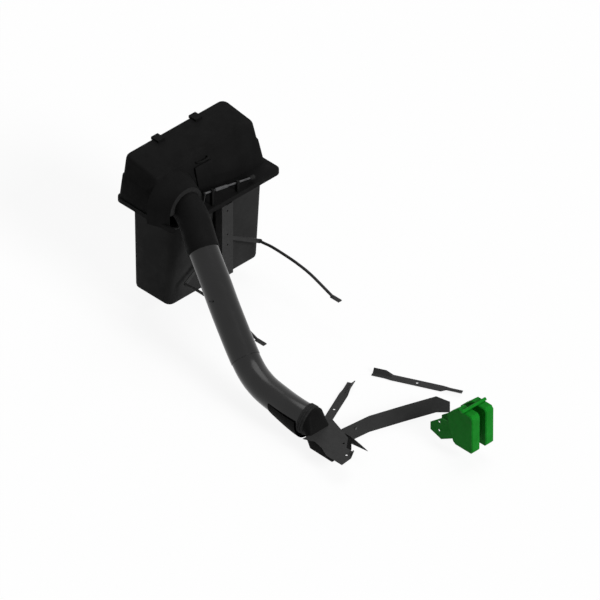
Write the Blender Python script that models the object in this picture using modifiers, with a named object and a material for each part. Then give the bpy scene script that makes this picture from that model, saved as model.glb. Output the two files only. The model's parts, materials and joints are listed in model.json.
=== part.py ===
"""Twin bagger for a ride-on mower: hopper with two bags, chute, deck adapter, blades, baffle and weights.

Metres, +Z up. The origin is on the mast's front face, where the mower's hitch plate is bolted on.
+X is the machine's left, +Y points to its rear, and the middle plane of the hopper is X = 0.
"""

import math

import bmesh
import bpy
from mathutils import Matrix, Vector

# Clearances
GAP = 0.0003
RUNNING_GAP = 0.0006
SLEEVE_GAP = 0.0008
SLIDE_GAP = 0.0035

# Mast: a channel with its web in front
MAST_WIDTH = 0.100
MAST_DEPTH = 0.062
MAST_WALL = 0.004
MAST_TOP = 0.145
MAST_FOOT = -0.430
MAST_HOLE_HEIGHTS = (0.096, -0.095, -0.180)
HITCH_BOLT_RADIUS = 0.0065

# Rails that the bags hang on
RAIL_RADIUS = 0.011
RAIL_CORNER = 0.060
RAIL_HEIGHT = 0.1207
CENTRE_RAIL_RADIUS = 0.008

# Bags
BAG_FLOOR = -0.550
BAG_WIDTH = 0.400
BAG_DEPTH = 0.344
BAG_WALL = 0.003
BAG_CORNER = 0.050
BAG_FLOOR_ROUND = 0.022
BAG_SIDE_DRAFT = 0.008
BAG_FRONT_LEAN = 0.060
BAG_LIP = 0.024
BAG_PAIR_GAP = 0.024
BAG_HANDLE_RADIUS = 0.004
BAG_HANDLE_SPAN = 0.120
BAG_HANDLE_DROP = 0.060

# Hood
HOOD_WALL = 0.0035
HOOD_RIM_HEIGHT = 0.153
HOOD_RIM_BAND = 0.034
HOOD_RIM_STEP = 0.008
HOOD_RIM_HALF_WIDTH = 0.499
HOOD_FRONT = 0.000
HOOD_REAR = 0.549
HOOD_LIP_DEPTH = 0.136
HOOD_WAIST_HEIGHT = 0.346
HOOD_WAIST_STEP = 0.012
HOOD_TOP_HALF_WIDTH = 0.462
HOOD_TOP_FRONT = 0.202
HOOD_TOP_FRONT_HEIGHT = 0.481
HOOD_TOP_REAR = 0.514
HOOD_TOP_REAR_HEIGHT = 0.524
HOOD_CORNER = 0.045
HOOD_TOP_ROUND = 0.018
HOOD_BOSS_SPACING = 0.344
HOOD_BOSS_SIZE = (0.060, 0.070, 0.020)

# Hood hinge at the rear rail
HINGE_SPACING = 0.620
HINGE_AXIS = Vector((0.0, 0.530, 0.140))
HINGE_PIN_RADIUS = 0.004
HINGE_EYE_RADIUS = 0.009
HINGE_LEAF_WIDTH = 0.030
HINGE_LEAF_HEIGHT = 0.050
HINGE_LEAF_WALL = 0.003
HINGE_EAR_WALL = 0.006

# Chute: one centre line through the elbow and both tubes
CHUTE_PATH = (
    (-0.304, 0.180, 0.268),
    (-0.314, 0.080, 0.264),
    (-0.337, -0.010, 0.240),
    (-0.372, -0.100, 0.179),
    (-0.412, -0.190, 0.104),
    (-0.475, -0.370, -0.034),
    (-0.542, -0.559, -0.182),
    (-0.612, -0.820, -0.405),
    (-0.650, -0.993, -0.469),
    (-0.662, -1.173, -0.492),
    (-0.662, -1.333, -0.506),
    (-0.640, -1.453, -0.524),
)
PATH_STEP = 0.045
ELBOW_RADIUS = 0.109
ELBOW_WALL = 0.0035
ELBOW_LENGTH = 0.455
ELBOW_BRACKET_DEPTH = 0.030
TUBE_RADIUS = 0.102
TUBE_WALL = 0.003
TUBE_OVERLAP = 0.060
SEAM_DISTANCE = 1.235
RIBBED_COLLAR_LENGTH = 0.050
RIBBED_COLLAR_RISE = 0.008
COLLAR_RIB_COUNT = 3

# Arched inlet of the hood, round the elbow
INLET_CENTRE = Vector((-0.328, 0.0, 0.262))
INLET_FRONT = 0.055
INLET_FRONT_RADIUS = 0.150
INLET_REAR = 0.212
INLET_REAR_RADIUS = 0.206
SEAL_DEPTH = 0.018
SEAL_GAP = 0.002
SEAL_WALL = 0.034
ARCH_STEPS = 16

# Latch on the hood's front lip
LATCH_LEFT = Vector((-0.190, 0.030, 0.315))
LATCH_RIGHT = Vector((0.235, 0.030, 0.228))
LATCH_ROD_RADIUS = 0.007
LATCH_STAND_PLACES = (0.18, 0.72)
LATCH_STAND_WIDTH = 0.022
LATCH_STAND_RADIUS = 0.016
LATCH_SLEEVE_RADIUS = 0.012
LATCH_SLEEVE_LENGTH = 0.110
LATCH_LEVER_LENGTH = 0.095
LATCH_LEVER_WIDTH = 0.024
LATCH_LEVER_WALL = 0.006
LATCH_KNOB_RADIUS = 0.016
LATCH_KNOB_LENGTH = 0.036
LATCH_PLATE_SIZE = (0.150, 0.012, 0.215)
LATCH_PLATE_PLACE = -0.050
GRIP_WIDTH = 0.100
GRIP_RISE = 0.030
GRIP_RADIUS = 0.007

# Braces and stabiliser bars
BRACE_TOP = -0.168
BRACE_END_HEIGHT = -0.350
BRACE_SPREAD = 0.345
BRACE_WIDTH = 0.030
BRACE_WALL = 0.006
BRACE_FRONT = 0.044
BRACE_BOLT_RADIUS = 0.004
BRACE_BOLT_HEAD = 0.009
STABILISER_RADIUS = 0.010
STABILISER_PATH = (
    (-0.065, -0.340),
    (-0.204, -0.343),
    (-0.315, -0.352),
    (-0.426, -0.372),
    (-0.536, -0.409),
    (-0.640, -0.447),
)
STABILISER_FOOT = (0.030, 0.080, 0.008)

# Deck adapter
DECK_PLATE_HEIGHT = -0.550
DECK_PLATE_WALL = 0.004
DECK_PLATE_OUTLINE = (
    (-0.795, -1.522),
    (-0.687, -1.527),
    (-0.560, -1.452),
    (-0.509, -1.512),
    (-0.546, -1.631),
    (-0.576, -1.722),
    (-0.660, -1.793),
    (-0.660, -1.860),
    (-0.718, -1.895),
    (-0.812, -1.905),
    (-0.811, -1.761),
    (-0.773, -1.676),
    (-0.759, -1.601),
)
DECK_PLATE_HOLES = ((-0.640, -1.745), (-0.715, -1.850))
DECK_HOLE_RADIUS = 0.008
ADAPTER_WALL = 0.003
ADAPTER_FLOOR = -0.652
ADAPTER_MOUTH_REAR = -1.560
ADAPTER_MOUTH_FRONT = -1.690
ADAPTER_FRONT = -1.740
ADAPTER_RIGHT = -0.748
ADAPTER_LEFT = -0.562
TROUGH_REAR = -1.160
TROUGH_FRONT = -1.405
TROUGH_SEAT = 0.0012
TROUGH_SPREAD = 0.012
TROUGH_DROP = 0.035
FIN_REAR = -1.540
FIN_SEAT_END = -1.585
FIN_OUTLINE = ((-1.630, -0.573), (-1.700, -0.570), (-1.790, -0.588), (-1.862, -0.606), (-1.640, -0.635))
FIN_WALL = 0.004
FIN_PLACE = -0.532

# Blades
BLADE_HEIGHT = -0.683
BLADE_SPINDLES = ((-0.297, -1.307), (0.297, -1.479))
BLADE_ANGLES = (25.1, -64.7)
BLADE_LENGTH = 0.625
BLADE_WIDTH = 0.060
BLADE_WALL = 0.005
BLADE_WING_START = 0.175
BLADE_WING_RISE = 0.026
BLADE_BORE_RADIUS = 0.0085

# Baffle
BAFFLE_START = -1.613
BAFFLE_PATH = ((-0.299, -1.636), (-0.060, -1.712), (0.167, -1.789), (0.232, -1.852))
BAFFLE_TOP = -0.560
BAFFLE_FOOT = -0.690
BAFFLE_END_CUT = 0.045
BAFFLE_WALL = 0.003

# Front weights
WEIGHT_PITCH = 0.126
WEIGHT_WALL = 0.073
WEIGHT_CHAMFER = 0.007
WEIGHT_OUTLINE = (
    (-2.395, -0.562),
    (-2.395, -0.302),
    (-2.375, -0.279),
    (-2.252, -0.279),
    (-2.151, -0.373),
    (-2.180, -0.470),
    (-2.210, -0.564),
    (-2.235, -0.582),
    (-2.378, -0.582),
)

WEIGHT_BAR_RADIUS = 0.012
WEIGHT_BRACKET_HALF = 0.055
WEIGHT_BRACKET_WALL = 0.006

PART = bpy.data.collections.new("twin_bagger")
CUTTERS = bpy.data.collections.new("cutters")

BLACK_PLASTIC = ((0.010, 0.010, 0.010), 0.55, 0.0)
BLACK_FABRIC = ((0.022, 0.022, 0.022), 0.80, 0.0)
GLOSSY_PLASTIC = ((0.014, 0.014, 0.014), 0.28, 0.0)
BLACK_RUBBER = ((0.008, 0.008, 0.008), 0.85, 0.0)
BLACK_STEEL = ((0.018, 0.018, 0.018), 0.45, 0.6)
GREY_STEEL = ((0.120, 0.120, 0.120), 0.40, 0.8)
GREEN_PAINT = ((0.005, 0.160, 0.012), 0.40, 0.0)


def clear_scene():
    for thing in list(bpy.data.objects):
        bpy.data.objects.remove(thing, do_unlink=True)
    for collection in (PART, CUTTERS):
        bpy.context.scene.collection.children.link(collection)
    CUTTERS.hide_render = True


def set_look(thing, look):
    colour, roughness, metallic = look
    material = bpy.data.materials.new(thing.name)
    material.use_nodes = True
    shader = material.node_tree.nodes["Principled BSDF"]
    shader.inputs["Base Color"].default_value = (*colour, 1.0)
    shader.inputs["Roughness"].default_value = roughness
    shader.inputs["Metallic"].default_value = metallic
    thing.data.materials.clear()
    thing.data.materials.append(material)


def add_object(name, data, look):
    """Puts a mesh or a curve in the part, or among the cutters where it has no look."""
    thing = bpy.data.objects.new(name, data)
    if look is None:
        CUTTERS.objects.link(thing)
        thing.display_type = "WIRE"
        thing.hide_render = True
    else:
        PART.objects.link(thing)
        set_look(thing, look)
    return thing


def add_mesh(name, bm, look):
    bmesh.ops.recalc_face_normals(bm, faces=bm.faces)
    mesh = bpy.data.meshes.new(name)
    bm.to_mesh(mesh)
    bm.free()
    mesh.shade_smooth()
    mesh.set_sharp_from_angle(angle=math.radians(35.0))
    return add_object(name, mesh, look)


def boolean(thing, other, operation):
    modifier = thing.modifiers.new(other.name, "BOOLEAN")
    modifier.operation = operation
    modifier.object = other
    modifier.solver = "EXACT"


def bevel(thing, width, segments=2):
    modifier = thing.modifiers.new("edges", "BEVEL")
    modifier.width = width
    modifier.segments = segments
    modifier.limit_method = "ANGLE"
    modifier.angle_limit = math.radians(40.0)


def block(name, size, centre, look):
    bm = bmesh.new()
    bmesh.ops.create_cube(bm, size=1.0)
    bmesh.ops.scale(bm, vec=size, verts=bm.verts)
    thing = add_mesh(name, bm, look)
    thing.location = centre
    return thing


def rod(name, start, end, radius, look, sides=20, end_radius=None):
    """A cylinder, or a cone, between two points."""
    start, end = Vector(start), Vector(end)
    axis = end - start
    bm = bmesh.new()
    far_radius = radius if end_radius is None else end_radius
    bmesh.ops.create_cone(
        bm, cap_ends=True, segments=sides, radius1=radius, radius2=far_radius, depth=axis.length
    )
    thing = add_mesh(name, bm, look)
    thing.rotation_mode = "QUATERNION"
    thing.rotation_quaternion = axis.to_track_quat("Z", "Y")
    thing.location = (start + end) / 2.0
    return thing


def sweep_curve(name, points, radius, sides, caps, cyclic=False):
    curve = bpy.data.curves.new(name, "CURVE")
    curve.dimensions = "3D"
    curve.bevel_depth = radius
    curve.bevel_resolution = (sides - 4) // 2
    curve.use_fill_caps = caps
    spline = curve.splines.new("POLY")
    spline.points.add(len(points) - 1)
    for knot, point in zip(spline.points, points):
        knot.co = (*point, 1.0)
    spline.use_cyclic_u = cyclic
    return curve


def wire(name, points, radius, look, sides=10, cyclic=False):
    """A solid round bar along the points."""
    return add_object(name, sweep_curve(name, points, radius, sides, not cyclic, cyclic), look)


def swept_mesh(name, points, radius, sides, caps, look):
    """A round sweep as a mesh, so that it can be cut, joined or given a wall."""
    holder = bpy.data.objects.new(name + "_curve", sweep_curve(name, points, radius, sides, caps))
    bpy.context.scene.collection.objects.link(holder)
    graph = bpy.context.evaluated_depsgraph_get()
    mesh = bpy.data.meshes.new_from_object(holder.evaluated_get(graph))
    bpy.data.objects.remove(holder, do_unlink=True)
    bm = bmesh.new()
    bm.from_mesh(mesh)
    bmesh.ops.remove_doubles(bm, verts=bm.verts, dist=0.00001)
    bpy.data.meshes.remove(mesh)
    return add_mesh(name, bm, look)


def duct(name, points, radius, wall, look, sides=28):
    """An open-ended round pipe whose wall grows inwards from its outer radius."""
    thing = swept_mesh(name, points, radius, sides, False, look)
    modifier = thing.modifiers.new("wall", "SOLIDIFY")
    modifier.thickness = wall
    modifier.offset = -1.0
    return thing


def outline_curve(name, outline, holes, thickness, edge=0.0):
    """A flat plate in the XY plane, centred on it, with round holes given as (x, y, radius)."""
    curve = bpy.data.curves.new(name, "CURVE")
    curve.dimensions = "2D"
    curve.fill_mode = "BOTH"
    curve.extrude = thickness / 2.0 - edge
    curve.bevel_depth = edge
    curve.bevel_resolution = 0
    curve.offset = -edge
    loops = [list(outline)]
    for x, y, radius in holes:
        loops.append([(x + radius * math.cos(a), y + radius * math.sin(a)) for a in circle_angles(16)])
    for loop in loops:
        spline = curve.splines.new("POLY")
        spline.points.add(len(loop) - 1)
        for knot, point in zip(spline.points, loop):
            knot.co = (point[0], point[1], 0.0, 1.0)
        spline.use_cyclic_u = True
    return curve


def plate(name, outline, thickness, look, place=None, holes=(), edge=0.0):
    thing = add_object(name, outline_curve(name, outline, holes, thickness, edge), look)
    thing.matrix_world = place or Matrix.Identity(4)
    return thing


def as_mesh(thing):
    """The same piece as a mesh with its caps welded, so that it can be cut or joined."""
    graph = bpy.context.evaluated_depsgraph_get()
    mesh = bpy.data.meshes.new_from_object(thing.evaluated_get(graph))
    bm = bmesh.new()
    bm.from_mesh(mesh)
    bmesh.ops.remove_doubles(bm, verts=bm.verts, dist=0.00001)
    bm.to_mesh(mesh)
    bm.free()
    solid = bpy.data.objects.new(thing.name + "_solid", mesh)
    PART.objects.link(solid)
    solid.matrix_world = thing.matrix_world
    name = thing.name
    bpy.data.objects.remove(thing, do_unlink=True)
    solid.name = name
    return solid


def side_on(x):
    """Turns a plate's own X, Y and Z into the part's Y, Z and X, at the given X."""
    return Matrix(((0, 0, 1, x), (1, 0, 0, 0), (0, 1, 0, 0), (0, 0, 0, 1)))


def front_on(y):
    """Turns a plate's own X, Y and Z into the part's X, Z and -Y, at the given Y."""
    return Matrix(((1, 0, 0, 0), (0, 0, -1, y), (0, 1, 0, 0), (0, 0, 0, 1)))


def circle_angles(count):
    return [2.0 * math.pi * k / count for k in range(count)]


def rounded_rectangle(left, right, low, high, radius, steps=4):
    points = []
    corners = ((right, high, 0.0), (left, high, 90.0), (left, low, 180.0), (right, low, 270.0))
    for x, y, start in corners:
        centre_x = x - math.copysign(radius, x - (left + right) / 2.0)
        centre_y = y - math.copysign(radius, y - (low + high) / 2.0)
        for k in range(steps + 1):
            angle = math.radians(start + 90.0 * k / steps)
            points.append((centre_x + radius * math.cos(angle), centre_y + radius * math.sin(angle)))
    return points


def loft(name, rings, look, cap_start=True, cap_end=True, closed=True):
    """Joins rings of equally many points by bands of faces, with a cap at either end if wanted."""
    bm = bmesh.new()
    rows = [[bm.verts.new(point) for point in ring] for ring in rings]
    count = len(rows[0])
    for first, second in zip(rows, rows[1:]):
        for k in range(count if closed else count - 1):
            after = (k + 1) % count
            bm.faces.new((first[k], first[after], second[after], second[k]))
    if cap_start:
        bm.faces.new(list(reversed(rows[0])))
    if cap_end:
        bm.faces.new(rows[-1])
    return add_mesh(name, bm, look)


def smooth_path(points):
    """Points close together along a smooth curve through the given ones."""
    knots = [Vector(p) for p in points]
    knots = [2.0 * knots[0] - knots[1], *knots, 2.0 * knots[-1] - knots[-2]]
    fine = []
    for before, start, end, after in zip(knots, knots[1:], knots[2:], knots[3:]):
        for k in range(24):
            t = k / 24.0
            fine.append(
                0.5
                * (
                    2.0 * start
                    + (end - before) * t
                    + (2.0 * before - 5.0 * start + 4.0 * end - after) * t * t
                    + (3.0 * start - before - 3.0 * end + after) * t ** 3
                )
            )
    fine.append(knots[-2])
    return fine


def even_path(points, step):
    """Points at equal steps along the smooth curve, so that every pipe on it bends at the same places."""
    fine = smooth_path(points)
    even = [fine[0]]
    left = step
    for first, second in zip(fine, fine[1:]):
        length = (second - first).length
        while left < length:
            even.append(first.lerp(second, left / length))
            left += step
        left -= length
    even.append(fine[-1])
    return even


CHUTE = even_path(CHUTE_PATH, PATH_STEP)


def path_length():
    return sum((second - first).length for first, second in zip(CHUTE, CHUTE[1:]))


def path_point(distance):
    """The place and the direction of the chute's centre line at a distance from its start."""
    for first, second in zip(CHUTE, CHUTE[1:]):
        length = (second - first).length
        if distance <= length or second is CHUTE[-1]:
            return first.lerp(second, distance / length), (second - first).normalized()
        distance -= length


def path_piece(start, end):
    """The centre line between two distances, with each of its bends that lies between them."""
    points = [path_point(start)[0]]
    reached = 0.0
    for first, second in zip(CHUTE, CHUTE[1:]):
        reached += (second - first).length
        if start + 0.002 < reached < end - 0.002:
            points.append(second)
    points.append(path_point(end)[0])
    return points


def round_the_tube(distance, angle, radius):
    """A point and the outward direction on a circle round the centre line, 0 degrees being its right side."""
    place, along = path_point(distance)
    up = (Vector((0.0, 0.0, 1.0)) - along.z * along).normalized()
    side = up.cross(along).normalized()
    out = side * math.cos(math.radians(angle)) + up * math.sin(math.radians(angle))
    return place + out * radius, out


# Bags

def bag_front():
    return MAST_DEPTH + GAP + 2.0 * RAIL_RADIUS + SLIDE_GAP


def bag_top():
    return RAIL_HEIGHT + RAIL_RADIUS + GAP + BAG_WALL


def bag_ring(height, grow, side):
    """The bag's outline at a height, grown outwards; side is +1 for the left bag and -1 for the right."""
    rise = height - BAG_FLOOR
    full = bag_top() - BAG_FLOOR
    draft = BAG_SIDE_DRAFT * rise
    front = bag_front() + BAG_FRONT_LEAN * (full - rise)
    rear = bag_front() + BAG_FRONT_LEAN * full + BAG_DEPTH + draft
    inner = BAG_PAIR_GAP / 2.0
    outer = inner + BAG_WIDTH + draft
    low, high = sorted((side * (inner - min(grow, inner - GAP)), side * (outer + grow)))
    corner = BAG_CORNER + min(grow, 0.0)
    outline = rounded_rectangle(low, high, front - grow, rear + grow, corner)
    return [(x, y, height) for x, y in outline]


def make_bag(name, side):
    rings = []
    for k in range(4):
        angle = math.radians(90.0 * k / 3)
        inset = BAG_FLOOR_ROUND * (1.0 - math.sin(angle))
        rings.append(bag_ring(BAG_FLOOR + BAG_FLOOR_ROUND * (1.0 - math.cos(angle)), -inset, side))
    rings.append(bag_ring(bag_top(), 0.0, side))
    rings.append(bag_ring(bag_top(), BAG_LIP, side))
    bag = loft(name, rings, BLACK_FABRIC, cap_end=False)
    modifier = bag.modifiers.new("wall", "SOLIDIFY")
    modifier.thickness = BAG_WALL
    modifier.offset = -1.0
    modifier.use_even_offset = True
    return bag


def make_bag_handle(name, side):
    """A bail that lies folded along the bag's front lip, inside the bag."""
    middle = side * (BAG_PAIR_GAP / 2.0 + BAG_WIDTH / 2.0)
    half = BAG_HANDLE_SPAN / 2.0
    front = bag_front() + BAG_WALL + BAG_HANDLE_RADIUS + GAP + BAG_FRONT_LEAN * BAG_HANDLE_DROP
    top = bag_top() - BAG_WALL
    points = [
        (middle - half, front, top),
        (middle - half, front, top - BAG_HANDLE_DROP),
        (middle + half, front, top - BAG_HANDLE_DROP),
        (middle + half, front, top),
    ]
    return wire(name, points, BAG_HANDLE_RADIUS, BLACK_STEEL)


# Frame

def make_mast():
    half = MAST_WIDTH / 2.0
    inner = half - MAST_WALL
    outline = (
        (-half, 0.0),
        (half, 0.0),
        (half, MAST_DEPTH),
        (inner, MAST_DEPTH),
        (inner, MAST_WALL),
        (-inner, MAST_WALL),
        (-inner, MAST_DEPTH),
        (-half, MAST_DEPTH),
    )
    rings = [[(x, y, z) for x, y in outline] for z in (MAST_FOOT, MAST_TOP)]
    mast = loft("mast", rings, BLACK_STEEL)
    for number, height in enumerate(MAST_HOLE_HEIGHTS):
        start = (0.0, -MAST_WALL, height)
        end = (0.0, 2.0 * MAST_WALL, height)
        boolean(mast, rod(f"hitch_hole_{number}", start, end, HITCH_BOLT_RADIUS, None, 16), "DIFFERENCE")


def rail_front():
    return MAST_DEPTH + GAP + RAIL_RADIUS


def rail_rear():
    full = bag_top() - BAG_FLOOR
    rear = bag_front() + BAG_FRONT_LEAN * full + BAG_DEPTH + BAG_SIDE_DRAFT * full
    return rear + SLIDE_GAP + RAIL_RADIUS


def rail_half_width():
    full = bag_top() - BAG_FLOOR
    return BAG_PAIR_GAP / 2.0 + BAG_WIDTH + BAG_SIDE_DRAFT * full + SLIDE_GAP + RAIL_RADIUS


def make_rails():
    half = rail_half_width()
    loop = rounded_rectangle(-half, half, rail_front(), rail_rear(), RAIL_CORNER, 5)
    wire("rail_loop", [(x, y, RAIL_HEIGHT) for x, y in loop], RAIL_RADIUS, BLACK_STEEL, 12, True)
    start = (0.0, rail_front() + RAIL_RADIUS + GAP, RAIL_HEIGHT)
    end = (0.0, rail_rear() - RAIL_RADIUS - GAP, RAIL_HEIGHT)
    rod("centre_rail", start, end, CENTRE_RAIL_RADIUS, BLACK_STEEL, 12)


def make_brace(name, side):
    """A flat strap from the mast's side down and out to the stabiliser bar, round at its outer end."""
    start = Vector((MAST_WIDTH / 2.0 + GAP, BRACE_TOP))
    end = Vector((BRACE_SPREAD, BRACE_END_HEIGHT))
    along = (end - start).normalized()
    across = Vector((-along.y, along.x)) * BRACE_WIDTH / 2.0
    slip = across.x / along.x * along
    outline = [start - across + slip, start + across - slip]
    first = math.atan2(across.y, across.x)
    for k in range(9):
        angle = first - math.pi * k / 8
        outline.append(end + Vector((math.cos(angle), math.sin(angle))) * BRACE_WIDTH / 2.0)
    outline = [(side * p.x, p.y) for p in outline]
    hole = (side * end.x, end.y, BRACE_BOLT_RADIUS + GAP)
    plate(name, outline, BRACE_WALL, BLACK_STEEL, front_on(BRACE_FRONT + BRACE_WALL / 2.0), (hole,))


def make_brace_bolt(name, side):
    x = side * BRACE_SPREAD
    back = BRACE_FRONT + BRACE_WALL + GAP
    head = rod(
        name, (x, back, BRACE_END_HEIGHT), (x, back + 0.006, BRACE_END_HEIGHT), BRACE_BOLT_HEAD, GREY_STEEL, 6
    )
    start = (x, BRACE_FRONT + GAP, BRACE_END_HEIGHT)
    end = (x, back + 0.003, BRACE_END_HEIGHT)
    boolean(head, rod(name + "_shank", start, end, BRACE_BOLT_RADIUS, None, 16), "UNION")


def make_stabiliser(name, side):
    x = side * BRACE_SPREAD
    points = [(x, BRACE_FRONT - 2.0 * STABILISER_RADIUS, BRACE_END_HEIGHT)]
    points += [(x, y, z) for y, z in STABILISER_PATH]
    path = smooth_path(points)
    path = [Vector((x, BRACE_FRONT - GAP, BRACE_END_HEIGHT)), *path[::8], path[-1]]
    bar = swept_mesh(name, path, STABILISER_RADIUS, 10, True, BLACK_STEEL)
    length, foot_y, foot_z = STABILISER_FOOT[1], STABILISER_PATH[-1][0], STABILISER_PATH[-1][1]
    foot = block(name + "_foot", STABILISER_FOOT, (x, foot_y - length / 3.0, foot_z), None)
    boolean(bar, foot, "UNION")


def make_hinge_bracket(name, side):
    """An ear on the rear rail with the pin that the hood's leaf turns on."""
    ear_x = side * (HINGE_SPACING / 2.0 - HINGE_LEAF_WIDTH / 2.0 - HINGE_EAR_WALL / 2.0 - RUNNING_GAP)
    low = RAIL_HEIGHT - RAIL_RADIUS - 0.004
    outline = [(rail_rear() - 0.002, low), (rail_rear() + RAIL_RADIUS + 0.012, low)]
    for k in range(9):
        angle = math.radians(-60.0 + 180.0 * k / 8)
        y = HINGE_AXIS.y + HINGE_EYE_RADIUS * math.cos(angle)
        z = HINGE_AXIS.z + HINGE_EYE_RADIUS * math.sin(angle)
        outline.append((y, z))
    outline.append((rail_rear() + RAIL_RADIUS + 0.001, RAIL_HEIGHT + 0.004))
    outline.append((rail_rear() - 0.002, RAIL_HEIGHT - 0.001))
    rings = []
    for x in (ear_x - HINGE_EAR_WALL / 2.0, ear_x + HINGE_EAR_WALL / 2.0):
        rings.append([(x, y, z) for y, z in outline])
    ear = loft(name, rings, BLACK_STEEL)
    saddle_start = (ear_x - 0.02, rail_rear(), RAIL_HEIGHT)
    saddle_end = (ear_x + 0.02, rail_rear(), RAIL_HEIGHT)
    saddle = rod(name + "_saddle", saddle_start, saddle_end, RAIL_RADIUS + GAP, None, 24)
    boolean(ear, saddle, "DIFFERENCE")
    pin_end = ear_x + side * (HINGE_LEAF_WIDTH + HINGE_EAR_WALL)
    start = (ear_x, HINGE_AXIS.y, HINGE_AXIS.z)
    end = (pin_end, HINGE_AXIS.y, HINGE_AXIS.z)
    boolean(ear, rod(name + "_pin", start, end, HINGE_PIN_RADIUS, None, 16), "UNION")


# Hood

def hood_rings(inset):
    """Level outlines of the hood from its rim to its top, moved inwards by the inset."""
    lip_top = HOOD_RIM_HEIGHT + HOOD_RIM_BAND
    slope = (HOOD_TOP_REAR_HEIGHT - HOOD_TOP_FRONT_HEIGHT) / (HOOD_TOP_REAR - HOOD_TOP_FRONT)
    wall_foot = HOOD_RIM_HALF_WIDTH - HOOD_RIM_STEP
    wall_rear = HOOD_REAR - HOOD_RIM_STEP

    def ring(front_z, rear_z, half_width, front, rear, corner):
        outline = rounded_rectangle(
            -half_width + inset, half_width - inset, front + inset, rear - inset, max(corner - inset, 0.004)
        )
        span = rear - front
        return [(x, y, front_z + (rear_z - front_z) * (y - front) / span) for x, y in outline]

    def wall_ring(share, step):
        """The wall's outline at a share of its height, drawn in by the step."""
        half_width = wall_foot + (HOOD_TOP_HALF_WIDTH - wall_foot) * share
        front = HOOD_LIP_DEPTH + (HOOD_TOP_FRONT - HOOD_LIP_DEPTH) * share
        rear = wall_rear + (HOOD_TOP_REAR - wall_rear) * share
        front_z = lip_top + (HOOD_TOP_FRONT_HEIGHT - lip_top) * share
        rear_z = lip_top + (HOOD_TOP_REAR_HEIGHT - lip_top) * share
        return front_z, rear_z, half_width - step, front + step, rear - step

    waist = (HOOD_WAIST_HEIGHT - lip_top) / (HOOD_TOP_FRONT_HEIGHT - lip_top)
    foot = HOOD_RIM_HEIGHT - (0.05 if inset else 0.0)
    rings = [
        ring(foot, foot, HOOD_RIM_HALF_WIDTH, HOOD_FRONT, HOOD_REAR, HOOD_CORNER),
        ring(lip_top - inset, lip_top - inset, HOOD_RIM_HALF_WIDTH, HOOD_FRONT, HOOD_REAR, HOOD_CORNER),
    ]
    stations = ((0.0, 0.0), (waist - 0.03, 0.0), (waist, HOOD_WAIST_STEP * 0.5), (0.92, HOOD_WAIST_STEP * 0.5))
    for share, step in stations:
        front_z, rear_z, half_width, front, rear = wall_ring(share, step)
        rings.append(ring(front_z - inset, rear_z - inset, half_width, front, rear, HOOD_CORNER))
    for k in range(1, 4):
        angle = math.radians(90.0 * k / 3)
        draw = HOOD_WAIST_STEP * 0.5 + HOOD_TOP_ROUND * (1.0 - math.cos(angle))
        share = 0.92 + 0.08 * math.sin(angle)
        front_z, rear_z, half_width, front, rear = wall_ring(share, draw)
        tilt = slope * HOOD_TOP_ROUND * (1.0 - math.cos(angle))
        rings.append(
            ring(front_z + tilt - inset, rear_z - tilt - inset, half_width, front, rear, HOOD_CORNER)
        )
    return rings


def half_circle(radius):
    """The upper half of a circle from its -X end to its +X end."""
    angles = [math.pi - math.pi * k / ARCH_STEPS for k in range(ARCH_STEPS + 1)]
    return [(radius * math.cos(a), radius * math.sin(a)) for a in angles]


def arch(radius, y):
    """An arch round the elbow at a depth, with legs down past the rim."""
    foot = HOOD_RIM_HEIGHT - 0.03
    points = [(INLET_CENTRE.x - radius, y, foot)]
    for x, z in half_circle(radius):
        points.append((INLET_CENTRE.x + x, y, INLET_CENTRE.z + z))
    points.append((INLET_CENTRE.x + radius, y, foot))
    return points


def make_hood():
    hood = loft("hood_cover", hood_rings(0.0), BLACK_PLASTIC)
    flare = (INLET_REAR_RADIUS - INLET_FRONT_RADIUS) / (INLET_REAR - INLET_FRONT)
    outer = loft("inlet_outer", [arch(INLET_FRONT_RADIUS, INLET_FRONT), arch(INLET_REAR_RADIUS, INLET_REAR)], None)
    trim_size = (2.0, 2.0, 0.4)
    trim = block("inlet_trim", trim_size, (0.0, 0.0, HOOD_RIM_HEIGHT - trim_size[2] / 2.0), None)
    boolean(outer, trim, "DIFFERENCE")
    boolean(hood, outer, "UNION")
    for number, side in enumerate((-1.0, 1.0)):
        place = (side * HOOD_BOSS_SPACING / 2.0, HOOD_TOP_REAR - HOOD_BOSS_SIZE[1] / 2.0, HOOD_TOP_REAR_HEIGHT)
        boolean(hood, block(f"hood_boss_{number}", HOOD_BOSS_SIZE, place, None), "UNION")
    boolean(hood, loft("hood_hollow", hood_rings(HOOD_WALL), None), "DIFFERENCE")
    inner = INLET_FRONT_RADIUS - HOOD_WALL
    rings = [
        arch(inner, HOOD_FRONT - 0.05),
        arch(inner, INLET_FRONT + HOOD_WALL),
        arch(inner + flare * (INLET_REAR - INLET_FRONT), INLET_REAR + HOOD_WALL),
    ]
    boolean(hood, loft("inlet_hollow", rings, None), "DIFFERENCE")


def make_seal():
    """A soft band under the arch, fixed to the hood and open below."""
    outer = INLET_FRONT_RADIUS - HOOD_WALL - GAP
    inner = outer - SEAL_WALL
    arcs = half_circle(outer) + list(reversed(half_circle(inner)))
    outline = [(INLET_CENTRE.x + x, INLET_CENTRE.z + z) for x, z in arcs]
    middle = INLET_FRONT + SEAL_DEPTH / 2.0 - HOOD_WALL
    seal = as_mesh(plate("inlet_seal", outline, SEAL_DEPTH, BLACK_RUBBER, front_on(middle)))
    path = path_piece(0.0, ELBOW_LENGTH)
    boolean(seal, swept_mesh("seal_bore", path, ELBOW_RADIUS + SEAL_GAP, 28, True, None), "DIFFERENCE")


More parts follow.
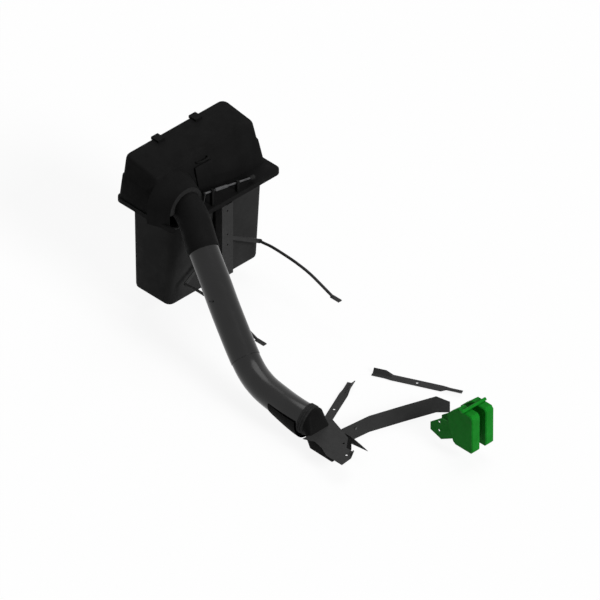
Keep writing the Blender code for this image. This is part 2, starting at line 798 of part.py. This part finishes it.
def wall_place(x, share, out):
    """A point on the hood's sloping front wall at a share of its height, moved outwards, and the turn to face it."""
    lip_top = HOOD_RIM_HEIGHT + HOOD_RIM_BAND
    foot = Vector((x, HOOD_LIP_DEPTH, lip_top))
    top = Vector((x, HOOD_TOP_FRONT, HOOD_TOP_FRONT_HEIGHT))
    along = (top - foot).normalized()
    outward = Vector((0.0, -along.z, along.y))
    turn = Matrix((Vector((1.0, 0.0, 0.0)), -outward, along)).transposed().to_4x4()
    return Matrix.Translation(foot.lerp(top, share) + outward * out) @ turn


def make_latch_plate():
    width, depth, height = LATCH_PLATE_SIZE
    panel = block("latch_plate", LATCH_PLATE_SIZE, (0.0, 0.0, 0.0), BLACK_PLASTIC)
    share = (height / 2.0 + 0.012) / (HOOD_TOP_FRONT_HEIGHT - HOOD_RIM_HEIGHT - HOOD_RIM_BAND)
    panel.matrix_world = wall_place(LATCH_PLATE_PLACE, share, depth / 2.0 + GAP)
    bevel(panel, 0.004)


def make_grip():
    """A bow handle near the top of the hood's front wall, with both feet on the wall."""
    frame = wall_place(LATCH_PLATE_PLACE, 0.86, 0.0)
    half = GRIP_WIDTH / 2.0
    foot = HOOD_WAIST_STEP * 0.5 - 2.0 * GAP
    leg = GRIP_RADIUS
    points = [frame @ Vector((-half, foot, 0.0))]
    for k in range(7):
        angle = math.pi - math.pi * k / 6
        points.append(frame @ Vector((half * math.cos(angle), -leg - (GRIP_RISE - leg) * math.sin(angle), 0.0)))
    points.append(frame @ Vector((half, foot, 0.0)))
    wire("hood_grip", points, GRIP_RADIUS, BLACK_PLASTIC)


def make_hinge_leaf(name, side):
    """The hood's half of a hinge: an eye round the pin and a leaf up the inside of the rear wall."""
    back = HOOD_REAR - HOOD_WALL - GAP
    top = HOOD_RIM_HEIGHT + HOOD_RIM_BAND - HOOD_WALL - GAP
    outline = []
    for k in range(13):
        angle = math.radians(100.0 + 220.0 * k / 12)
        y = HINGE_AXIS.y + HINGE_EYE_RADIUS * math.cos(angle)
        z = HINGE_AXIS.z + HINGE_EYE_RADIUS * math.sin(angle)
        outline.append((y, z))
    outline.append((back, HINGE_AXIS.z + 0.004))
    outline.append((back, top))
    outline.append((back - HINGE_LEAF_WALL, top))
    outline.append((back - HINGE_LEAF_WALL, HINGE_AXIS.z + HINGE_EYE_RADIUS + 0.002))
    hole = (HINGE_AXIS.y, HINGE_AXIS.z, HINGE_PIN_RADIUS + RUNNING_GAP)
    plate(name, outline, HINGE_LEAF_WIDTH, BLACK_STEEL, side_on(side * HINGE_SPACING / 2.0), (hole,))


# Latch

def latch_point(share):
    return LATCH_LEFT.lerp(LATCH_RIGHT, share)


def latch_along():
    return (LATCH_RIGHT - LATCH_LEFT).normalized()


def make_latch_stand(name, share):
    """A post on the lip with an eye that the latch rod turns in."""
    middle = latch_point(share)
    half = latch_along() * LATCH_STAND_WIDTH / 2.0
    stand = rod(name, middle - half, middle + half, LATCH_STAND_RADIUS, BLACK_PLASTIC, 24)
    foot = HOOD_RIM_HEIGHT + HOOD_RIM_BAND + GAP
    size = (LATCH_STAND_WIDTH * 0.8, LATCH_STAND_RADIUS * 1.6, middle.z - foot)
    post = block(name + "_post", size, (middle.x, middle.y, foot + size[2] / 2.0), None)
    boolean(stand, post, "UNION")
    bore = rod(name + "_bore", middle - 2.0 * half, middle + 2.0 * half, LATCH_ROD_RADIUS + RUNNING_GAP, None, 24)
    boolean(stand, bore, "DIFFERENCE")


def make_latch():
    along = latch_along()
    rod("latch_rod", LATCH_LEFT, LATCH_RIGHT, LATCH_ROD_RADIUS, GREY_STEEL, 16)
    middle = latch_point(sum(LATCH_STAND_PLACES) / 2.0 - 0.08)
    half = along * LATCH_SLEEVE_LENGTH / 2.0
    sleeve = rod("latch_sleeve", middle - half, middle + half, LATCH_SLEEVE_RADIUS, GREY_STEEL, 20)
    bore = rod("sleeve_bore", middle - 1.2 * half, middle + 1.2 * half, LATCH_ROD_RADIUS + GAP, None, 16)
    boolean(sleeve, bore, "DIFFERENCE")
    knob_start = LATCH_RIGHT + along * GAP
    knob_end = knob_start + along * LATCH_KNOB_LENGTH
    knob = rod("latch_knob", knob_start, knob_end, LATCH_KNOB_RADIUS * 0.75, BLACK_RUBBER, 20, LATCH_KNOB_RADIUS)
    bevel(knob, 0.003)
    make_lever(along)


def make_lever(along):
    """A flat lever hanging from the rod's outer end, with an eye round the rod."""
    eye = LATCH_LEVER_WIDTH / 2.0
    tip = LATCH_LEVER_WIDTH * 0.3
    outline = []
    for k in range(9):
        angle = math.pi * k / 8
        outline.append((eye * math.cos(angle), eye * math.sin(angle)))
    for k in range(7):
        angle = math.pi + math.pi * k / 6
        outline.append((tip * math.cos(angle), tip * math.sin(angle) - LATCH_LEVER_LENGTH))
    down = Vector((0.0, 0.0, 1.0)) - along.z * along
    down.normalize()
    across = down.cross(along).normalized()
    place = Matrix((across, down, along)).transposed().to_4x4()
    place = Matrix.Translation(LATCH_LEFT + along * LATCH_LEVER_WALL) @ place
    hole = (0.0, 0.0, LATCH_ROD_RADIUS + GAP)
    plate("latch_lever", outline, LATCH_LEVER_WALL, BLACK_STEEL, place, (hole,))


# Chute

def make_chute():
    upper_start = ELBOW_LENGTH - TUBE_OVERLAP
    duct("elbow", path_piece(0.0, ELBOW_LENGTH), ELBOW_RADIUS, ELBOW_WALL, BLACK_PLASTIC)
    collar_start = ELBOW_LENGTH - TUBE_OVERLAP * 0.5
    collar_radius = ELBOW_RADIUS - ELBOW_WALL - SLEEVE_GAP
    collar_wall = collar_radius - TUBE_RADIUS - SLEEVE_GAP
    duct("elbow_collar", path_piece(collar_start, ELBOW_LENGTH), collar_radius, collar_wall, BLACK_RUBBER)
    duct("upper_tube", path_piece(upper_start, SEAM_DISTANCE), TUBE_RADIUS, TUBE_WALL, GLOSSY_PLASTIC)
    lower_radius = lower_tube_radius()
    lower = path_piece(SEAM_DISTANCE - TUBE_OVERLAP, path_length())
    duct("lower_tube", lower, lower_radius, TUBE_WALL, GLOSSY_PLASTIC)
    for number, share in enumerate((0.05, 0.45, 0.85)):
        distance = SEAM_DISTANCE - 0.22 + 0.2 * share
        start, out = round_the_tube(distance, -12.0, TUBE_RADIUS + GAP)
        rod(f"tube_bolt_{number + 1}", start, start + out * 0.010, 0.010, GREY_STEEL, 12, 0.007)
    start, out = round_the_tube(SEAM_DISTANCE - 0.42, 150.0, TUBE_RADIUS + GAP)
    rod("tube_clip", start, start + out * 0.022, 0.008, BLACK_STEEL, 10, 0.005)


def lower_tube_radius():
    return TUBE_RADIUS - TUBE_WALL - SLEEVE_GAP


def make_elbow_bracket():
    """A saddle plate on the front rail that carries the elbow."""
    x = INLET_CENTRE.x
    back = bag_front() - BAG_LIP - GAP
    front = back - ELBOW_BRACKET_DEPTH
    foot = RAIL_HEIGHT - RAIL_RADIUS - 0.010
    size = (0.050, back - front, 0.070)
    carrier = block("elbow_bracket", size, (x, (front + back) / 2.0, foot + size[2] / 2.0), BLACK_STEEL)
    start = (x - 0.1, rail_front(), RAIL_HEIGHT)
    end = (x + 0.1, rail_front(), RAIL_HEIGHT)
    rail = rod("bracket_rail_seat", start, end, RAIL_RADIUS + GAP, None, 24)
    boolean(carrier, rail, "DIFFERENCE")
    seat = swept_mesh("bracket_elbow_seat", path_piece(0.0, ELBOW_LENGTH), ELBOW_RADIUS + GAP, 28, True, None)
    boolean(carrier, seat, "DIFFERENCE")


def make_ribbed_collar():
    """A clamp ring with raised ribs round the lower end of the tube."""
    end = path_length() - 0.010
    start = end - RIBBED_COLLAR_LENGTH
    inner = lower_tube_radius() + GAP
    count = COLLAR_RIB_COUNT * 4
    rings = []
    for k in range(count + 1):
        place, along = path_point(start + (end - start) * k / count)
        rise = RIBBED_COLLAR_RISE if k % 4 in (1, 2) else RIBBED_COLLAR_RISE * 0.5
        rings.append((place, along, inner + rise))
    up = Vector((0.0, 0.0, 1.0))
    loops = []
    for place, along, radius in rings:
        side = up.cross(along).normalized()
        top = along.cross(side).normalized()
        loop = []
        for angle in circle_angles(28):
            loop.append(place + (side * math.cos(angle) + top * math.sin(angle)) * radius)
        loops.append(loop)
    collar = loft("ribbed_collar", loops, BLACK_RUBBER)
    bore = swept_mesh("collar_bore", path_piece(start - 0.05, path_length()), inner + GAP, 28, True, None)
    boolean(collar, bore, "DIFFERENCE")


# Deck adapter

def box_ring(y, left, right, low, high, corner):
    """A rounded rectangle across the chute at a depth, with as many points as the tube has sides."""
    outline = rounded_rectangle(right, left, low, high, corner, 6)
    return [(x, y, z) for x, z in outline]


def round_ring(distance, radius):
    place, along = path_point(distance)
    side = along.cross(Vector((0.0, 0.0, 1.0))).normalized()
    top = side.cross(along).normalized()
    ring = []
    for corner in range(4):
        for k in range(7):
            angle = math.radians(90.0 * corner + 90.0 * (k + 0.5) / 7)
            ring.append(place + (-side * math.cos(angle) + top * math.sin(angle)) * radius)
    return ring


def adapter_rings(inset):
    """The adapter's outline from the tube's end to its closed front, moved inwards by the inset."""
    end = path_length()
    radius = lower_tube_radius() + ADAPTER_WALL + SLEEVE_GAP
    top = DECK_PLATE_HEIGHT - DECK_PLATE_WALL / 2.0 - 2.0 * GAP
    right, left = ADAPTER_RIGHT + inset, ADAPTER_LEFT - inset
    low, high = ADAPTER_FLOOR + inset, top - inset
    rings = [round_ring(end - (0.030 if inset > 0.0 else 0.009), radius - inset)]
    rings.append(round_ring(end + 0.010, radius - inset))
    rings.append(box_ring(ADAPTER_MOUTH_REAR + 0.020, left, right, low, high, 0.020))
    rings.append(box_ring(ADAPTER_FRONT + inset, left, right, low, high - 0.010, 0.014))
    return rings


def make_adapter():
    duct_body = loft("adapter_duct", adapter_rings(0.0), BLACK_PLASTIC)
    boolean(duct_body, loft("adapter_hollow", adapter_rings(ADAPTER_WALL), None), "DIFFERENCE")
    middle = (ADAPTER_LEFT, (ADAPTER_MOUTH_REAR + ADAPTER_MOUTH_FRONT) / 2.0, 0.0)
    height = DECK_PLATE_HEIGHT - ADAPTER_FLOOR - 0.030
    size = (0.060, ADAPTER_MOUTH_REAR - ADAPTER_MOUTH_FRONT, height)
    centre = (middle[0], middle[1], ADAPTER_FLOOR + 0.010 + height / 2.0)
    boolean(duct_body, block("adapter_mouth", size, centre, None), "DIFFERENCE")
    holes = [(x, y, DECK_HOLE_RADIUS) for x, y in DECK_PLATE_HOLES]
    place = Matrix.Translation((0.0, 0.0, DECK_PLATE_HEIGHT))
    deck_plate = as_mesh(plate("deck_plate", DECK_PLATE_OUTLINE, DECK_PLATE_WALL, BLACK_STEEL, place, holes))
    boolean(deck_plate, loft("plate_relief", adapter_rings(-GAP), None), "DIFFERENCE")
    make_fin()
    make_wing_screw()


def make_trough():
    """A guard that hugs the tube's underside and deepens towards the deck, open above."""
    rings = []
    count = 8
    for k in range(count + 1):
        share = k / count
        y = TROUGH_REAR + (TROUGH_FRONT - TROUGH_REAR) * share
        place = path_at_depth(y)
        inner = lower_tube_radius() + TROUGH_SEAT + TROUGH_SPREAD * share
        drop = TROUGH_DROP * share
        outer_arc = trough_arc(place, y, inner + ADAPTER_WALL, drop)
        inner_arc = trough_arc(place, y, inner, drop)
        rings.append(outer_arc + list(reversed(inner_arc)))
    loft("adapter_trough", rings, BLACK_PLASTIC)


def trough_arc(place, y, radius, drop):
    arc = []
    for step in range(19):
        angle = math.radians(170.0 + 200.0 * step / 18)
        x = place.x + radius * math.cos(angle)
        z = place.z + radius * math.sin(angle)
        arc.append((x, y, z + drop * min(0.0, math.sin(angle))))
    return arc


def path_at_depth(y):
    """The place on the chute's centre line where it passes a depth."""
    for first, second in zip(CHUTE, CHUTE[1:]):
        if second.y <= y <= first.y:
            return first.lerp(second, (first.y - y) / (first.y - second.y))
    return CHUTE[-1]


def make_fin():
    """A pointed fin that hangs from the deck plate's left edge."""
    top = DECK_PLATE_HEIGHT - DECK_PLATE_WALL / 2.0 - GAP
    outline = [(FIN_REAR, top), (FIN_SEAT_END, top), *FIN_OUTLINE, (FIN_REAR, FIN_OUTLINE[-2][1])]
    plate("guide_fin", outline, FIN_WALL, BLACK_STEEL, side_on(FIN_PLACE))


def make_wing_screw():
    x, y = DECK_PLATE_OUTLINE[7][0] - 0.022, DECK_PLATE_OUTLINE[7][1] - 0.004
    base = DECK_PLATE_HEIGHT + DECK_PLATE_WALL / 2.0 + GAP
    screw = rod("wing_screw", (x, y, base), (x, y, base + 0.012), 0.008, BLACK_STEEL, 12)
    for number, side in enumerate((-1.0, 1.0)):
        leaf = block(f"wing_{number}", (0.016, 0.004, 0.012), (0.0, 0.0, 0.0), None)
        leaf.location = (x + side * 0.012, y, base + 0.011)
        leaf.rotation_euler = (0.0, -side * math.radians(35.0), 0.0)
        boolean(screw, leaf, "UNION")


# Blades

def make_blade(name, spindle, angle):
    """A flat bar whose trailing edge turns up into a wing towards each tip, with its bore in the middle."""
    half = BLADE_LENGTH / 2.0
    width = BLADE_WIDTH / 2.0
    rows = []
    for along in (-half, -BLADE_WING_START - 0.05, -BLADE_WING_START, 0.0, BLADE_WING_START, BLADE_WING_START + 0.05, half):
        side = math.copysign(1.0, along)
        wing = 0.0 if abs(along) <= BLADE_WING_START else BLADE_WING_RISE
        lead = width * (0.80 if abs(along) > BLADE_WING_START else 1.0)
        middle = -width * 0.15
        row = [(along, side * lead, 0.0), (along, side * middle, 0.0), (along, -side * width, wing)]
        rows.append(row if side > 0.0 else list(reversed(row)))
    blade = loft(name, rows, BLACK_STEEL, False, False, False)
    modifier = blade.modifiers.new("wall", "SOLIDIFY")
    modifier.thickness = BLADE_WALL
    modifier.offset = 0.0
    blade.location = (*spindle, BLADE_HEIGHT)
    blade.rotation_euler = (0.0, 0.0, math.radians(angle))
    low = (spindle[0], spindle[1], BLADE_HEIGHT - 0.02)
    high = (spindle[0], spindle[1], BLADE_HEIGHT + 0.02)
    boolean(blade, rod(name + "_bore", low, high, BLADE_BORE_RADIUS, None, 20), "DIFFERENCE")


# Baffle

def make_baffle():
    """A sheet on edge that follows the deck's front, its last corner cut back."""
    path = [(FIN_PLACE + FIN_WALL / 2.0 + 2.0 * GAP, BAFFLE_START), *BAFFLE_PATH]
    rows = []
    for number, (x, y) in enumerate(path):
        last = number == len(path) - 1
        rows.append([(x, y, BAFFLE_TOP - (BAFFLE_END_CUT if last else 0.0)), (x, y, BAFFLE_FOOT)])
    baffle = loft("baffle", rows, BLACK_STEEL, False, False, False)
    modifier = baffle.modifiers.new("wall", "SOLIDIFY")
    modifier.thickness = BAFFLE_WALL
    modifier.offset = 0.0
    (start_x, start_y), (end_x, end_y) = path[0], path[1]
    middle = Vector(((start_x + end_x) / 2.0, (start_y + end_y) / 2.0, (BAFFLE_TOP + BAFFLE_FOOT) / 2.0 + 0.02))
    facing = Vector((end_y - start_y, start_x - end_x, 0.0)).normalized()
    front = middle + facing * (BAFFLE_WALL / 2.0 + GAP)
    rod("baffle_bolt", front, front + facing * 0.006, 0.010, GREY_STEEL, 6)


# Front weights

def make_weight(name, side):
    plate(
        name,
        WEIGHT_OUTLINE,
        WEIGHT_WALL,
        GREEN_PAINT,
        side_on(side * WEIGHT_PITCH / 2.0),
        edge=WEIGHT_CHAMFER,
    )


def make_weight_bracket():
    """Two cheeks between and behind the weights, joined by a cross plate that the weights hang against."""
    high, low = WEIGHT_OUTLINE[5], WEIGHT_OUTLINE[6]
    seat = 2.0 * GAP
    cheek = (
        (low[0] + seat, low[1]),
        (high[0] + seat, high[1]),
        (-2.060, -0.480),
        (-1.960, -0.560),
        (-1.960, -0.620),
        (-2.060, -0.650),
    )
    rings = []
    for x in (-WEIGHT_BRACKET_HALF, WEIGHT_BRACKET_HALF):
        rings.append([(x, y, z) for y, z in cheek])
    bracket = loft("weight_bracket", rings, GREEN_PAINT)
    inner = WEIGHT_BRACKET_HALF - WEIGHT_BRACKET_WALL
    space = block("bracket_space", (2.0 * inner, 0.30, 0.30), (0.0, -2.020, -0.560), None)
    boolean(bracket, space, "DIFFERENCE")
    for number, height in enumerate((-0.520, -0.590)):
        start = (-0.2, -2.040, height)
        end = (0.2, -2.040, height)
        boolean(bracket, rod(f"bracket_hole_{number}", start, end, 0.009, None, 16), "DIFFERENCE")


def make_weight_bar():
    """A round bar across both weights that keeps them on the bracket, with a bent end to pull it by."""
    top = max(z for _, z in WEIGHT_OUTLINE) + WEIGHT_BAR_RADIUS + GAP
    y = (WEIGHT_OUTLINE[2][0] + WEIGHT_OUTLINE[3][0]) / 2.0
    half = WEIGHT_PITCH / 2.0 + WEIGHT_WALL / 2.0
    points = [(half, y, top), (-half, y, top), (-half - 0.016, y, top + 0.006), (-half - 0.024, y, top + 0.030)]
    wire("weight_bar", points, WEIGHT_BAR_RADIUS, GREEN_PAINT, 12)



def clear_and_build():
    clear_scene()
    make_mast()
    make_rails()
    make_hood()
    make_seal()
    make_latch_plate()
    make_grip()
    make_latch()
    make_chute()
    make_elbow_bracket()
    make_ribbed_collar()
    for number, share in enumerate(LATCH_STAND_PLACES):
        make_latch_stand(f"latch_stand_{number + 1}", share)
    for word, side in (("left", 1.0), ("right", -1.0)):
        make_bag(f"bag_{word}", side)
        make_bag_handle(f"bag_handle_{word}", side)
        make_brace(f"brace_{word}", side)
        make_brace_bolt(f"brace_bolt_{word}", side)
        make_stabiliser(f"stabiliser_{word}", side)
        make_hinge_bracket(f"hinge_bracket_{word}", side)
        make_hinge_leaf(f"hinge_leaf_{word}", side)
        make_weight(f"weight_{word}", side)
    make_adapter()
    make_trough()
    make_baffle()
    make_weight_bracket()
    make_weight_bar()
    for word, spindle, angle in zip(("right", "left"), BLADE_SPINDLES, BLADE_ANGLES):
        make_blade(f"blade_{word}", spindle, angle)


clear_and_build()
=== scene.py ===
"""The looks of the twin bagger: finishes for every piece, light, floor and camera."""

import json
import math

import bpy
from mathutils import Matrix, Vector


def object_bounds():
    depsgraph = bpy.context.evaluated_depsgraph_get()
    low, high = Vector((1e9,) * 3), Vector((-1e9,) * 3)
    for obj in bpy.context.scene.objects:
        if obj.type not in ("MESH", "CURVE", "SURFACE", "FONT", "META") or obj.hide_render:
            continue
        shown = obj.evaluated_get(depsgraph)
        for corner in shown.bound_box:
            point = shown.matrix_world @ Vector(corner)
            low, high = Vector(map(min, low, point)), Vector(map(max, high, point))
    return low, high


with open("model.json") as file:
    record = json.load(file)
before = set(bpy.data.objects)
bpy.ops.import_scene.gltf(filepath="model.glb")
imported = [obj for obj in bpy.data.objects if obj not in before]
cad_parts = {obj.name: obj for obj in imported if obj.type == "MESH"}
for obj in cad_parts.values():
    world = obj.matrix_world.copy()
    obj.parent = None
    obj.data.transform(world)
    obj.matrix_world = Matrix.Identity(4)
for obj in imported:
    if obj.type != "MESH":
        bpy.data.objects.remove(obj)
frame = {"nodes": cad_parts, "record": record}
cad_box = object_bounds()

# Photograph: a nearly parallel view, in pixels of the 600 x 600 picture
IMAGE_SIZE = 600
PIXELS_PER_METRE = 152.0
ORIGIN_PIXEL = (227.6, 222.7)
CAMERA_AZIMUTH = -44.3
CAMERA_ELEVATION = 36.25
CAMERA_DISTANCE = 150.0
SENSOR_WIDTH = 36.0

# How the CAD triangles are joined and shaded
WELD_DISTANCE = 0.00001
SHARP_ANGLE = 35.0

# The range of values that a noise mostly keeps to
NOISE_RANGE = (0.3, 0.7)

# Floor and light. A sun has a name, the way towards it, a strength and an angle in degrees
FLOOR_DROP = 0.004
FLOOR_SIZE = 60.0
FLOOR_MIDDLE = -1.0
FLOOR_ROUGHNESS = 0.9
FLOOR_COLOUR = (0.62, 0.62, 0.62)
FLOOR_WHITENESS = 0.80
FLOOR_GLOW = 1.12
WORLD_STRENGTH = 0.14
SUNS = (
    ("key", (-0.02, -0.85, 0.52), 2.35, 20.0),
    ("top", (0.30, 0.10, 0.95), 0.8, 40.0),
)

NODES = frame["nodes"]


# Shader maths

class Value:
    """A socket that adds Math nodes when it is used in an expression."""

    def __init__(self, finish, socket):
        self.finish = finish
        self.socket = socket

    def math(self, operation, first, second):
        return self.finish.node("ShaderNodeMath", {"operation": operation}, {0: first, 1: second})

    def __add__(self, other):
        return self.math("ADD", self, other)

    def __rmul__(self, other):
        return self.math("MULTIPLY", other, self)


class Finish:
    """One procedural material, on Object coordinates."""

    def __init__(self, name, roughness, metallic=0.0, specular=0.5):
        self.material = bpy.data.materials.new(name)
        self.material.use_nodes = True
        self.tree = self.material.node_tree
        self.shader = self.tree.nodes["Principled BSDF"]
        self.shader.inputs["Roughness"].default_value = roughness
        self.shader.inputs["Metallic"].default_value = metallic
        self.shader.inputs["Specular IOR Level"].default_value = specular
        self.place = self.node("ShaderNodeTexCoord", {}, {}, "Object")

    def node(self, kind, settings, inputs, output=0):
        made = self.tree.nodes.new(kind)
        for key, value in settings.items():
            setattr(made, key, value)
        for key, value in inputs.items():
            if isinstance(value, Value):
                self.tree.links.new(value.socket, made.inputs[key])
            else:
                made.inputs[key].default_value = value
        return Value(self, made.outputs[output])

    def noise(self, scale, detail=3.0, roughness=0.5, stretch=None):
        place = self.place
        if stretch:
            place = self.node("ShaderNodeMapping", {}, {"Vector": self.place, "Scale": stretch})
        settings = {"Vector": place, "Scale": scale, "Detail": detail, "Roughness": roughness}
        return self.node("ShaderNodeTexNoise", {}, settings, 0)

    def between(self, value, low, high):
        """A noise mapped from the range that it mostly keeps to on to low..high."""
        from_low, from_high = NOISE_RANGE
        spread = {"Value": value, "From Min": from_low, "From Max": from_high, "To Min": low, "To Max": high}
        return self.node("ShaderNodeMapRange", {"clamp": True}, spread)

    def mix(self, factor, first, second):
        inputs = {"Factor": factor, 6: (*first, 1.0), 7: (*second, 1.0)}
        return self.node("ShaderNodeMix", {"data_type": "RGBA"}, inputs, 2)

    def colour(self, noise, dark, pale):
        self.feed("Base Color", self.mix(self.between(noise, 0.0, 1.0), dark, pale))

    def roughness(self, noise, smooth, rough):
        self.feed("Roughness", self.between(noise, smooth, rough))

    def feed(self, name, value):
        self.tree.links.new(value.socket, self.shader.inputs[name])

    def bump(self, height, strength, distance):
        inputs = {"Height": height, "Strength": strength, "Distance": distance}
        self.feed("Normal", self.node("ShaderNodeBump", {}, inputs))


def grey(level):
    return (level, level, level)


def moulded_plastic(name, dark, pale, roughness, specular):
    """Moulded black plastic: a fine pebble grain and a cloudy sheen."""
    finish = Finish(name, roughness, specular=specular)
    finish.colour(finish.noise(5.0, 4.0), grey(dark), grey(pale))
    finish.roughness(finish.noise(23.0, 2.0), roughness - 0.06, roughness + 0.08)
    grain = finish.noise(420.0, 2.0, 0.6) + 0.6 * finish.noise(1300.0, 1.0)
    finish.bump(grain, 0.12, 0.0006)
    return finish.material


def tube_plastic():
    """Blow-moulded tube: smooth and glossy, with faint long flow marks and a soft waviness."""
    finish = Finish("tube_plastic", 0.18, specular=0.34)
    finish.colour(finish.noise(7.0, 3.0), grey(0.0020), (0.0045, 0.0045, 0.0048))
    finish.roughness(finish.noise(30.0, 3.0, 0.6, (1.0, 0.25, 0.4)), 0.14, 0.26)
    finish.bump(finish.noise(14.0, 2.0) + 0.05 * finish.noise(500.0, 1.0), 0.06, 0.003)
    return finish.material


def powder_coat():
    """Black powder coat on steel, with its orange peel."""
    finish = Finish("black_powder_coat", 0.50, specular=0.15)
    finish.colour(finish.noise(11.0, 3.0), grey(0.017), grey(0.023))
    finish.roughness(finish.noise(60.0, 2.0), 0.45, 0.58)
    finish.bump(finish.noise(650.0, 1.0), 0.15, 0.0005)
    return finish.material


def dark_zinc():
    """Dark plated steel, brushed."""
    finish = Finish("dark_zinc", 0.38, metallic=0.9)
    brush = finish.noise(90.0, 3.0, 0.7, (0.15, 1.0, 1.0))
    finish.colour(brush, (0.05, 0.05, 0.052), (0.11, 0.11, 0.112))
    finish.roughness(brush, 0.30, 0.46)
    finish.bump(brush, 0.08, 0.0003)
    return finish.material


def green_enamel():
    """Green enamel over a cast surface: broad casting waves under a fine orange peel."""
    finish = Finish("green_enamel", 0.42, specular=0.04)
    finish.colour(finish.noise(16.0, 4.0), (0.006, 0.190, 0.013), (0.010, 0.235, 0.020))
    finish.roughness(finish.noise(40.0, 2.0), 0.36, 0.52)
    finish.bump(finish.noise(120.0, 4.0, 0.6) + 0.3 * finish.noise(600.0, 1.0), 0.20, 0.0012)
    return finish.material


def soft_rubber():
    """Dull black rubber with a fine bloom."""
    finish = Finish("soft_rubber", 0.85, specular=0.2)
    finish.colour(finish.noise(40.0, 4.0), grey(0.006), grey(0.014))
    finish.roughness(finish.noise(150.0, 2.0), 0.75, 0.92)
    finish.bump(finish.noise(900.0, 2.0), 0.2, 0.0004)
    return finish.material


FINISHES = {
    "black_plastic": moulded_plastic("hood_plastic", 0.0050, 0.0080, 0.60, 0.03),
    "bag_plastic": moulded_plastic("bag_plastic", 0.023, 0.030, 0.70, 0.03),
    "tube_plastic": tube_plastic(),
    "rubber": soft_rubber(),
    "black_steel": powder_coat(),
    "grey_steel": dark_zinc(),
    "green_paint": green_enamel(),
}


def dress_cad_nodes():
    """Gives each CAD node its finish, welds its loose triangles and shades its rounds smooth."""
    slots = {entry["node"]: entry["material_slot"] for entry in frame["record"]["subparts"]}
    for name, node in NODES.items():
        node.data.materials.clear()
        node.data.materials.append(FINISHES[slots[name]])
        node.data.shade_smooth()
        weld = node.modifiers.new("weld", "WELD")
        weld.merge_threshold = WELD_DISTANCE
        split = node.modifiers.new("sharp_edges", "EDGE_SPLIT")
        split.split_angle = math.radians(SHARP_ANGLE)


# Stage

def view_axes():
    """The picture's right, its up and the way towards the camera, in the part's frame."""
    turn, tilt = math.radians(CAMERA_AZIMUTH), math.radians(CAMERA_ELEVATION)
    right = Vector((math.cos(turn), math.sin(turn), 0.0))
    forward = Vector((-math.sin(turn) * math.cos(tilt), math.cos(turn) * math.cos(tilt), -math.sin(tilt)))
    return right, right.cross(forward), -forward


def add_camera():
    right, up, towards = view_axes()
    middle = IMAGE_SIZE / 2.0
    across, down = ((middle - pixel) / PIXELS_PER_METRE for pixel in ORIGIN_PIXEL)
    aim = right * across - up * down
    bpy.ops.object.camera_add()
    camera = bpy.context.object
    camera.data.sensor_width = SENSOR_WIDTH
    camera.data.lens = SENSOR_WIDTH * CAMERA_DISTANCE * PIXELS_PER_METRE / IMAGE_SIZE
    camera.data.clip_end = 2.0 * CAMERA_DISTANCE
    turn = Matrix((right, up, towards)).transposed().to_4x4()
    camera.matrix_world = Matrix.Translation(aim + towards * CAMERA_DISTANCE) @ turn
    bpy.context.scene.camera = camera


def seen_by_camera(tree):
    """1 for what the camera sees straight, in gloss or through glass, and 0 for what only lights."""
    path = tree.nodes.new("ShaderNodeLightPath")
    seen = path.outputs["Is Camera Ray"]
    for name in ("Is Glossy Ray", "Is Transmission Ray"):
        largest = tree.nodes.new("ShaderNodeMath")
        largest.operation = "MAXIMUM"
        tree.links.new(seen, largest.inputs[0])
        tree.links.new(path.outputs[name], largest.inputs[1])
        seen = largest.outputs[0]
    return seen


def add_world():
    world = bpy.data.worlds.new("pale_studio")
    bpy.context.scene.world = world
    world.use_nodes = True
    tree = world.node_tree
    background = tree.nodes["Background"]
    background.inputs["Color"].default_value = (1.0, 1.0, 1.0, 1.0)
    strength = tree.nodes.new("ShaderNodeMapRange")
    tree.links.new(seen_by_camera(tree), strength.inputs["Value"])
    strength.inputs["To Min"].default_value = WORLD_STRENGTH
    strength.inputs["To Max"].default_value = 1.0
    tree.links.new(strength.outputs[0], background.inputs["Strength"])


def add_lamps():
    for name, towards, strength, softness in SUNS:
        bpy.ops.object.light_add(type="SUN")
        lamp = bpy.context.object
        lamp.name = name
        lamp.data.energy = strength
        lamp.data.angle = math.radians(softness)
        lamp.rotation_mode = "QUATERNION"
        lamp.rotation_quaternion = Vector(towards).to_track_quat("Z", "Y")


def add_floor():
    lowest = cad_box[0][2]
    bpy.ops.mesh.primitive_plane_add(size=FLOOR_SIZE, location=(0.0, FLOOR_MIDDLE, lowest - FLOOR_DROP))
    floor = bpy.context.object
    floor.name = "floor"
    material = bpy.data.materials.new("pale_floor")
    material.use_nodes = True
    tree = material.node_tree
    shader = tree.nodes["Principled BSDF"]
    shader.inputs["Base Color"].default_value = (*FLOOR_COLOUR, 1.0)
    shader.inputs["Roughness"].default_value = FLOOR_ROUGHNESS
    shader.inputs["Specular IOR Level"].default_value = 0.0
    glow = tree.nodes.new("ShaderNodeEmission")
    glow.inputs["Strength"].default_value = FLOOR_GLOW
    mix = tree.nodes.new("ShaderNodeMixShader")
    fade = tree.nodes.new("ShaderNodeMath")
    fade.operation = "MULTIPLY"
    fade.inputs[1].default_value = FLOOR_WHITENESS
    tree.links.new(seen_by_camera(tree), fade.inputs[0])
    tree.links.new(fade.outputs[0], mix.inputs["Fac"])
    tree.links.new(shader.outputs[0], mix.inputs[1])
    tree.links.new(glow.outputs[0], mix.inputs[2])
    tree.links.new(mix.outputs[0], tree.nodes["Material Output"].inputs["Surface"])
    floor.data.materials.append(material)


dress_cad_nodes()
add_camera()
add_world()
add_lamps()
add_floor()
bpy.context.scene.view_settings.view_transform = "Standard"
